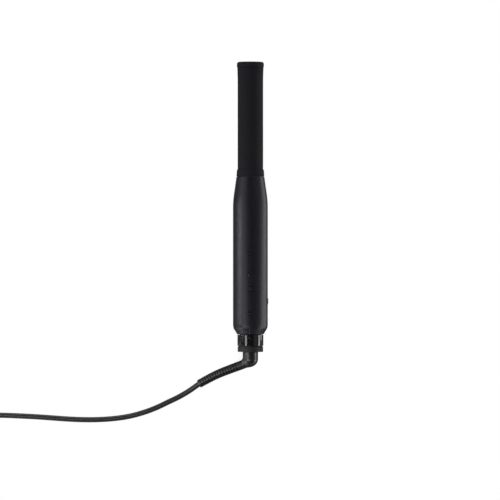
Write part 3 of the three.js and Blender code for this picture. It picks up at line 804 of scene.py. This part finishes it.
def make_collar():
    groove_y = NECK_Y + GAP
    seat_y = COLLAR_TOP_Y - 5.4
    outline = [
        (11.5, 11.7),
        (13.9, 11.7, 0.3),
        (13.9, 13.3),
        (15.4, 13.3, 0.3),
        (15.4, 17.3, 0.3),
        (13.9, 17.3),
        (13.9, groove_y),
        (COLLAR_R, groove_y, 0.2),
        (COLLAR_R - 0.32, COLLAR_TOP_Y - 3, 4),
        (COLLAR_R - 0.47, COLLAR_TOP_Y - 0.6, 0.7),
        (COLLAR_R - 0.9, COLLAR_TOP_Y, 0.3),
        (BARREL_R + 0.12, COLLAR_TOP_Y),
        (BARREL_R + 0.12, seat_y),
        (11.5, seat_y),
    ]
    lathe("neck_collar_moulding", outline, "wand", "heat_plastic", ("neck_collar",))


make_barrel()
make_tip_cap()
make_collar()


# ---------- handle ----------
FOOT_R = RING_R + 0.2
SHOULDER = (HANDLE_R - 1.14, -134.6)
HANDLE_OUTSIDE = [
    (FOOT_R, HANDLE_FOOT_Y),
    SHOULDER,
    *bezier(SHOULDER, (HANDLE_R, -132.8), (HANDLE_R, -128.5)),
    *[(HANDLE_R, y) for y in range(-120, 0, 10)],
    (HANDLE_R, -1),
    *bezier((HANDLE_R, -1), (HANDLE_R, 6.5), (HANDLE_R - 1.09, 14)),
    (COLLAR_R - 0.02, NECK_Y),
]


def handle_radius(y):
    radii, ys = zip(*HANDLE_OUTSIDE)
    return float(np.interp(y, ys, radii))


def half_shell(side):
    """Vertices and faces of the front (1) or rear (-1) shell, rounded along the seam outside."""
    foot = rounded([(13.4, HANDLE_FOOT_Y), (*HANDLE_OUTSIDE[0], 0.3), HANDLE_OUTSIDE[1]])[1:-1]
    top = rounded([HANDLE_OUTSIDE[-2], (*HANDLE_OUTSIDE[-1], 0.35), (14.2, NECK_Y)])[1:-1]
    outside = held([*foot, *HANDLE_OUTSIDE[1:-1], *top])
    inner_r = HANDLE_R - WALL
    inside = [
        (14.2, NECK_Y),
        (14.2, 17.6),
        (15.9, 17.6),
        (15.9, 13),
        (14.2, 13),
        (14.2, 11.4),
        (16.2, 11.4),
        (inner_r, -1),
        (inner_r, -127.6),
        (13.4, -129.4),
        (13.4, -130.8),
        (15.6, -130.8),
        (15.6, -134.2),
        (13.4, -134.2),
        (13.4, HANDLE_FOOT_Y),
    ]
    edge = [(SPLIT, 0.25), (SPLIT + 0.075, 0.075), (SPLIT + 0.25, 0)]  # height, and inset there
    sections = []
    for height, inset in edge:
        outer = [(r - inset, y, math.asin(height / r)) for r, y in outside]
        sections.append(outer + [(r, y, math.asin(height / r)) for r, y in inside])
    for angle in np.linspace(math.radians(2.4), math.pi / 2, 40):
        sections.append([(r, y, angle) for r, y in outside + inside])
    mirrored = reversed(sections[:-1])
    other = [[(r, y, math.pi - angle) for r, y, angle in section] for section in mirrored]
    return loft(
        [
            [(r * math.cos(a), y, AXIS_Z + side * r * math.sin(a)) for r, y, a in section]
            for section in sections + other
        ]
    )


def prism(outline, low_z, high_z):
    """An upright prism over an outline of (x, y)."""
    return loft([[(x, y, low_z) for x, y in outline], [(x, y, high_z) for x, y in outline]])


def circle(r, x, y, facets=48):
    angles = [math.tau * k / facets for k in range(facets)]
    return [(x + r * math.cos(angle), y + r * math.sin(angle)) for angle in angles]


def round_post(r, x, y, low_z, high_z):
    return prism(circle(r, x, y), low_z, high_z)


def button_outline(length, y, side=0, end=0):
    """The outline of a key that is length long, grown at its sides and at its ends."""
    corner = max(0.05, BUTTON_CORNER + side)
    outline = rounded_rectangle(BUTTON_WIDTH + 2 * side, length + 2 * end, corner)
    return [(BUTTON_X + px, y + py) for px, py in outline]


def arc_block(low_angle, high_angle, low_y, high_y, inner_r, outer_r, steps=8):
    """A block of a turned ring between two angles, counted in degrees from +X upwards."""
    sections = []
    for angle in np.radians(np.linspace(low_angle, high_angle, steps + 1)):
        corners = ((inner_r, low_y), (outer_r, low_y), (outer_r, high_y), (inner_r, high_y))
        sections.append([(r * math.cos(angle), y, AXIS_Z + r * math.sin(angle)) for r, y in corners])
    return loft(sections)


BUTTON_FLANGE = 1.6  # how much wider a CAD button is, at its flange, than its key
BUTTON_WIDTH = extent("button_raise", ACROSS) - BUTTON_FLANGE
BUTTON_X = middle("button_raise", ACROSS)
BUTTON_CORNER = 0.9
BUTTON_SIDE_GAP, BUTTON_END_GAP = 0.2, 0.65
BUTTON_SHORTER = BUTTON_FLANGE + 0.6  # how much longer it is
BUTTONS = {  # name: its middle along the wand, and the length of its key
    name: (middle(f"button_{name}", ALONG), extent(f"button_{name}", ALONG) - BUTTON_SHORTER)
    for name in ("lower", "raise", "power")
}
LENSES = {name: middle(f"indicator_lens_{name}", ALONG) for name in ("upper", "lower")}
LENS_X = middle("indicator_lens_upper", ACROSS)
LENS_R = 0.8
LENS_EDGE, LENS_CROWN = 0.16, 0.12  # how far its edge lies under the handle, and its own height
SCREW_YS = [middle(f"casing_screw_{i}", ALONG) for i in (1, 2)]
KNOB_LOW_ANGLE, KNOB_HIGH_ANGLE = 5, 19
KNOB_TOP_Y, KNOB_LENGTH, KNOB_TRAVEL = -100.8, 5.6, 3
KNOB_R = 20


def make_front_shell():
    through = (AXIS_Z + 12, AXIS_Z + 25)
    cuts = []
    for y, length in BUTTONS.values():
        hole = button_outline(length, y, BUTTON_SIDE_GAP, BUTTON_END_GAP)
        cuts.append(prism(hole, *through))
    for y in LENSES.values():
        cuts.append(round_post(LENS_R + 0.06, LENS_X, y, *through))
    slot_ys = (KNOB_TOP_Y - KNOB_LENGTH - KNOB_TRAVEL - 0.4, KNOB_TOP_Y + 0.4)
    cuts.append(arc_block(KNOB_LOW_ANGLE - 1, KNOB_HIGH_ANGLE + 1, *slot_ys, 15, 25))
    mesh = combined(half_shell(1), [("DIFFERENCE", tool) for tool in cuts])
    dress(mesh, "front_shell", "wand", "satin_shell", ("handle_front_shell",))


def make_rear_shell():
    """The shell with its two screw posts and the flat strip that the wand rests on."""
    post_r, head_r, shank_r = 4.2, 3.2, 1.7
    far = 60
    below = prism([(-far, -160), (far, -160), (far, 60), (-far, 60)], -far, 0)
    steps = [("UNION", round_post(post_r, 0, y, 0.1, AXIS_Z - 3.9)) for y in SCREW_YS]
    steps.append(("DIFFERENCE", below))
    for y in SCREW_YS:
        steps.append(("DIFFERENCE", round_post(head_r, 0, y, -5, AXIS_Z - 9)))
        steps.append(("DIFFERENCE", round_post(shank_r, 0, y, 4, AXIS_Z)))
    mesh = combined(half_shell(-1), steps)
    dress(mesh, "rear_shell", "wand", "satin_shell", ("handle_rear_shell",))


make_front_shell()
make_rear_shell()


# ---------- controls ----------
def domed_button(name, y, length):
    """A flush button whose top follows the handle, with a rounded edge and a shallow dish."""
    # each ring of the top: how far it lies in from the edge, and how far down
    steps = [(0, 0.12), (0.04, 0.04), (0.12, 0), (0.3, 0), (0.7, 0.02), (1.2, 0.04)]
    sections = [[(px, py, AXIS_Z + 14.6) for px, py in button_outline(length, y)]]
    for inset, drop in steps:
        ring = button_outline(length, y, -inset, -inset)
        top = [math.sqrt((HANDLE_R - 0.15) ** 2 - px * px) - drop for px, _ in ring]
        sections.append([(px, py, AXIS_Z + pz) for (px, py), pz in zip(ring, top)])
    make(f"{name}_key", *loft(sections), f"{name}_button", "button_plastic", (f"button_{name}",))


def make_lens(name, y, material):
    """An indicator window: a round light guide with a crowned end, just under the handle's top."""
    edge_z = HANDLE_R - LENS_EDGE
    outline = [(LENS_R, 15.2), (LENS_R, edge_z)]
    for bearing in np.radians(range(15, 91, 15)):
        outline.append((LENS_R * math.cos(bearing), edge_z + LENS_CROWN * math.sin(bearing)))
    sections = []
    for r, height in outline:
        ring = circle(max(r, 0.01), LENS_X, y, 40)
        sections.append([(px, py, AXIS_Z + height) for px, py in ring])
    node = f"indicator_lens_{name}"
    make(f"light_window_{name}", *loft(sections), "wand", "lens", (node,), material)


def make_knob():
    """The slide knob: a ridged thumb pad that stands out of its slot, on a slipway inside."""
    angles = np.radians(np.linspace(KNOB_LOW_ANGLE, KNOB_HIGH_ANGLE, 15))
    ys = np.linspace(KNOB_TOP_Y - KNOB_LENGTH, KNOB_TOP_Y, 57)
    sections = []
    for angle in angles:
        from_side = min(angle - angles[0], angles[-1] - angle) * KNOB_R
        outer = []
        for y in ys:
            from_end = min(y - ys[0], ys[-1] - y)
            edge = min(from_side, from_end)
            rounding = 0.5 * max(0, 1 - edge / 0.5) ** 2
            along = (y - KNOB_TOP_Y + KNOB_LENGTH / 2) / 1.1
            ridge = 0.3 * (0.5 - 0.5 * math.cos(math.tau * along)) if from_end > 0.8 else 0
            outer.append((KNOB_R - 0.05 - rounding - ridge, y))
        ring = [(15.3, ys[0]), *outer, (15.3, ys[-1])]
        sections.append([(r * math.cos(angle), y, AXIS_Z + r * math.sin(angle)) for r, y in ring])
    lap = KNOB_TRAVEL + 1.2
    slipway_ys = (KNOB_TOP_Y - KNOB_LENGTH - lap, KNOB_TOP_Y + lap)
    slipway = arc_block(KNOB_LOW_ANGLE - 2, KNOB_HIGH_ANGLE + 3, *slipway_ys, 15.3, 16.7)
    make("knob", *joined(loft(sections), slipway), "slide_switch", "button_plastic", ("slide_knob",))


def on_surface(radius_at, arc, y, lift):
    """A point lift millimetres above a turned surface, arc millimetres round it from its top."""
    r = radius_at(y) + lift
    angle = arc / radius_at(y)
    return (r * math.sin(angle), y, AXIS_Z + r * math.cos(angle))


def printed_dot(name, arc, y, r):
    """A dot of pad printing on the handle, a few hundredths of a millimetre high."""
    layers = []
    for lift, size in ((-0.08, r), (0.03, r), (0.04, r * 0.6)):
        layers.append([on_surface(handle_radius, a, b, lift) for a, b in circle(size, arc, y, 24)])
    make(name, *loft(layers), "wand", "satin_shell", (), INK)


def printed_bar(name, start, end, width, radius_at, body, slot):
    """A straight bar of pad printing between two (arc, y) points."""
    start, end = np.array(start), np.array(end)
    ahead = (end - start) / np.linalg.norm(end - start)
    side = np.array([-ahead[1], ahead[0]]) * width / 2
    sections = []
    for t in np.linspace(0, 1, 12):
        place = start + t * (end - start)
        corners = ((-1, -0.08), (1, -0.08), (1, 0.03), (0, 0.035), (-1, 0.03))
        sections.append([on_surface(radius_at, *(place + side * k), lift) for k, lift in corners])
    make(name, *loft(sections), body, slot, (), INK)


for button_name, (button_y, button_length) in BUTTONS.items():
    domed_button(button_name, button_y, button_length)
make_lens("upper", LENSES["upper"], DARK_WINDOW)
make_lens("lower", LENSES["lower"], MATERIALS["lens"])
make_knob()
printed_dot("unlocked_dot", -4.9, -137.6, 0.55)
printed_dot("slide_dot", 19.1, -98, 0.55)
printed_bar("index_line", (-1, -134.9), (-1, -139.6), 0.7, handle_radius, "wand", "satin_shell")
printed_bar(
    "ring_mark", (-2.2, -143.3), (0.4, -145.4), 0.6, lambda y: RING_R, "lock_ring", "gloss_trim"
)


# ---------- foot: lock ring, swivel, strain relief ----------
def make_lock_ring():
    """The gloss ring, with a tab that reaches into the handle and works the lock switch."""
    bore_r = 11.9
    outline = [
        (bore_r, RING_FOOT_Y),
        (RING_R, RING_FOOT_Y, 0.3),
        (RING_R, RING_TOP_Y, 0.3),
        (bore_r, RING_TOP_Y),
    ]
    ring = turned(held(rounded(outline, True), True))
    tab = arc_block(82, 98, RING_TOP_Y - 1, -124.6, 12.1, 13.1)
    make("lock_ring_moulding", *joined(ring, tab), "lock_ring", "gloss_trim", ("lock_ring",))


def make_hub():
    outline = [
        (3.6, FOOT_Y),
        (HUB_R, FOOT_Y, 0.5),
        (HUB_R, HUB_TOP_Y, 0.4),
        (SPINDLE_R, HUB_TOP_Y),
        (SPINDLE_R, -127.6),
        (6.3, -127.6),
        (6.3, -126.2),
        (7, -126.2),
        (7, -109, 0.3),
        (3.6, -109),
    ]
    lathe("swivel_moulding", outline, "swivel", "matte_trim", ("swivel_hub",))


ELBOW_R = 8.44
ELBOW_END_Y = -167.4
ELBOW_FILLET = 3
ELBOW_VOXEL = 0.4
ELBOW_GAP = 0.02  # between its flat top and the hub
ELBOW_ARM = 9.6  # how far the smooth arm reaches along the strain relief's centre line
RELIEF_START = 9.3  # where the ribbed piece begins there
RELIEF_STEP = 0.12
RELIEF_START_R, RELIEF_END_R = 5, 4.6
RIB_START = 12.05
RIB_PITCH, RIB_GROOVE, RIB_DEPTH = 3.1, 1.35, 1.2
RIB_SLOPE = 0.18  # how far along the line a slot's wall leans
RELIEF_BLUNT = 1.6  # length of the plain end


def relief_line():
    return smooth_line(RELIEF_ROUTE, RELIEF_STEP)


def elbow_distance(points, line):
    """How far points lie outside the elbow: a round-ended socket and the start of the arm,
    run into each other with a fillet.
    """
    beyond = np.minimum(points[:, 1] - ELBOW_END_Y, 0)
    socket = np.sqrt(points[:, 0] ** 2 + beyond**2 + (points[:, 2] - AXIS_Z) ** 2) - ELBOW_R
    arm = np.full(len(points), 1e3)
    for start, end in zip(line, line[1:]):
        along = end - start
        t = np.clip((points - start) @ along / along.dot(along), 0, 1)
        foot = start + t[:, None] * along
        arm = np.minimum(arm, np.linalg.norm(points - foot, axis=1) - RELIEF_START_R)
    fillet = np.maximum(ELBOW_FILLET - np.abs(socket - arm), 0) / ELBOW_FILLET
    return np.minimum(socket, arm) - fillet**2 * ELBOW_FILLET / 4


def make_elbow():
    """The smooth part: a rough shape of voxels, whose points are then moved onto the true one."""
    quarter = []
    for angle in np.radians(range(0, 90, 6)):
        quarter.append((ELBOW_R * math.cos(angle), ELBOW_END_Y - ELBOW_R * math.sin(angle)))
    top_y = FOOT_Y - ELBOW_GAP
    outline = [(0, top_y), (ELBOW_R, top_y), *quarter, (0, ELBOW_END_Y - ELBOW_R)]
    line = relief_line()[: round(ELBOW_ARM / RELIEF_STEP) : 6]
    piece = scratch(*turned(outline, closed=False, facets=96))
    other = scratch(*swept(line, lambda i, angle: RELIEF_START_R, 48))
    union = piece.modifiers.new("union", "BOOLEAN")
    union.solver = "EXACT"
    union.operation = "UNION"
    union.object = other
    remesh = piece.modifiers.new("remesh", "REMESH")
    remesh.mode = "VOXEL"
    remesh.voxel_size = ELBOW_VOXEL * MM
    melt = piece.modifiers.new("melt", "SMOOTH")
    melt.factor = 0.5
    melt.iterations = 8
    mesh = evaluated(piece)
    bpy.data.objects.remove(piece)
    bpy.data.objects.remove(other)
    points = np.array([vertex.co for vertex in mesh.vertices]) / MM
    free = points[:, 1] < top_y - 0.3
    points[~free, 1] = top_y  # the others make the flat top
    nudge = 0.01
    for _ in range(5):
        away = elbow_distance(points, line)
        nudged = [elbow_distance(points + step, line) for step in nudge * np.eye(3)]
        slope = (np.stack(nudged, axis=1) - away[:, None]) / nudge
        slope /= np.maximum((slope**2).sum(axis=1), 0.2)[:, None]
        points[free] -= (away[:, None] * slope)[free]
    mesh.vertices.foreach_set("co", (points * MM).ravel())
    return dress(mesh, "elbow", "swivel", "cord_rubber", ("elbow_strain_relief",), sharp=60)


def make_relief():
    """The ribbed part: slots round it, broken by a spine on each side, and a blunt end."""
    line = relief_line()
    step = float(np.linalg.norm(line[1] - line[0]))
    line = line[round(RELIEF_START / step) :]
    total = len(line) * step
    plain = RIB_START - RELIEF_START

    def radius_at(i, angle):
        place = i * step
        r = RELIEF_START_R + (RELIEF_END_R - RELIEF_START_R) * (i / len(line))
        if place < plain or place > total - RELIEF_BLUNT:
            from_end = total - place
            return r - 0.5 * max(0, 1 - from_end / 0.5) ** 2
        phase = (place - plain) % RIB_PITCH
        slot = min(1, max(0, (RIB_GROOVE / 2 - abs(phase - RIB_PITCH / 2)) / RIB_SLOPE))
        spine = min(1, max(0, (abs(math.cos(angle)) - 0.2) / 0.1))
        return r - RIB_DEPTH * slot * spine

    make("strain_relief", *swept(line, radius_at, 64), "swivel", "cord_rubber", (), None, 40)


make_lock_ring()
make_hub()
make_elbow()
make_relief()


# ---------- plug and tie ----------
def ripple(y, start, end, pitch, depth):
    """How deep a row of soft grooves between two places is at y."""
    if not start < y < end:
        return 0
    return depth * (0.5 - 0.5 * math.cos(math.tau * (y - start) / pitch))


PLUG_X, PLUG_Z = middle("plug_body", ACROSS), middle("plug_body", UP)
PLUG_TAIL_Y, PLUG_FACE_Y = span("plug_body", ALONG)
PLUG_WIDTH, PLUG_THICKNESS = extent("plug_body", ACROSS), extent("plug_body", UP)
BLADE_WIDTH, BLADE_THICKNESS = 6.3, 1.5


def make_plug():
    """A moulded plug: a ringed tail that swells into a flat body with finger ridges."""
    tail_length, tail_r, tail_growth = 15, 3.9, 1.5
    neck_r, corner_r, edge_r = tail_r + tail_growth, 4, 1.2
    tail = []
    for y in np.linspace(0, tail_length, 61):
        r = tail_r + tail_growth * y / tail_length - ripple(y, 1.5, 13.5, 3, 0.55)
        tail.append((y, 2 * r, 2 * r, r))
    body = []
    for t in np.linspace(0, 1, 14):
        swell = math.sin(t * math.pi / 2)
        y = tail_length + 0.4 + 5 * (1 - math.cos(t * math.pi / 2))
        width = 2 * neck_r + (PLUG_WIDTH - 2 * neck_r) * swell
        height = 2 * neck_r + (PLUG_THICKNESS - 2 * neck_r) * swell
        body.append((y, width, height, neck_r + (corner_r - neck_r) * swell))
    face = PLUG_FACE_Y - PLUG_TAIL_Y
    for y in np.linspace(21, face - edge_r, 60):
        body.append((y, PLUG_WIDTH - 2 * ripple(y, 24, 34, 2.5, 0.5), PLUG_THICKNESS, corner_r))
    for angle in np.linspace(0, math.pi / 2, 6):
        inset = edge_r * (1 - math.cos(angle))
        y = face - edge_r + edge_r * math.sin(angle)
        body.append((y, PLUG_WIDTH - 2 * inset, PLUG_THICKNESS - 2 * inset, corner_r - inset))
    sections = []
    for y, width, height, corner in tail + body:  # y from the plug's tail
        corner = min(corner, width / 2 - 0.01, height / 2 - 0.01)
        outline = rounded_rectangle(width, height, corner)
        sections.append([(PLUG_X + px, PLUG_TAIL_Y + y, PLUG_Z + pz) for px, pz in outline])
    return make("plug", *loft(sections), "swivel", "cord_rubber", ("plug_body",))


def make_blade(side):
    node = f"plug_blade_{side}"
    x, middle_y = middle(node, ACROSS), middle(node, ALONG)
    outline = rounded_rectangle(BLADE_WIDTH, extent(node, ALONG), 1.2)
    sections = []
    for offset, inset in ((-1, 0.25), (-0.66, 0), (0.66, 0), (1, 0.25)):
        narrow = 1 - 2 * inset / BLADE_WIDTH
        short = 1 - inset / 10
        layer = x + offset * BLADE_THICKNESS / 2
        ring = [(layer, middle_y + py * short, PLUG_Z + pz * narrow) for pz, py in outline]
        sections.append(ring)
    eye = circle(1.5, span(node, ALONG)[1] - 4, PLUG_Z, 40)
    hole = [[(x + dx, y, z) for y, z in eye] for dx in (-3, 3)]
    mesh = combined(loft(sections), [("DIFFERENCE", loft(hole))])
    return dress(mesh, f"blade_{side}", "swivel", "brass", (node,))


def make_tie():
    """A flat rubber band round the turns, with its tail laid over itself. The turns are a spiral,
    so here they don't quite reach from COIL_INNER to COIL_OUTER.
    """
    low_x, high_x = COIL_INNER - CORD_R + 0.75, COIL_OUTER + CORD_R - 2
    low_z, high_z = 0.45, COIL_BASE + 4 * CORD_R + 0.75
    width, height = high_x - low_x, high_z - low_z
    centre_x, centre_z = COIL_X + (low_x + high_x) / 2, (low_z + high_z) / 2
    half_width, half_thick = 4.5, 0.4
    edge_r = half_thick * 0.9
    path = rounded_rectangle(width, height, CORD_R + half_thick, 12)
    sections = []
    count = len(path)
    for k, (px, pz) in enumerate(path):
        before, after = path[k - 1], path[(k + 1) % count]
        tangent = Vector((after[0] - before[0], after[1] - before[1])).normalized()
        normal = Vector((tangent.y, -tangent.x))
        x, z = centre_x + px, centre_z + pz
        ring = rounded_rectangle(2 * half_width, 2 * half_thick, edge_r, 3)
        sections.append([(x + normal.x * dn, COIL_Y + dy, z + normal.y * dn) for dy, dn in ring])
    vertices, faces = loft(sections + sections[:1])
    tail = []
    tail_z = high_z + (2 * half_thick - 0.05) * 0.9
    ring = rounded_rectangle(2 * half_width - 0.6, 2 * half_thick, edge_r, 3)
    for t in np.linspace(-7, 5, 15):
        shrink = 1 if t > -6 else math.sqrt(max(0.05, 1 - (-6 - t) ** 2))
        tail.append([(centre_x + t, COIL_Y + dy * shrink, tail_z + dn * 0.8) for dy, dn in ring])
    parts = joined((vertices, faces[2:]), loft(tail))  # the band closes on itself, without ends
    return make("tie", *parts, "swivel", "matte_trim", ("cord_tie",))


plug = make_plug()
blades = [make_blade(side) for side in ("left", "right")]
tie = make_tie()
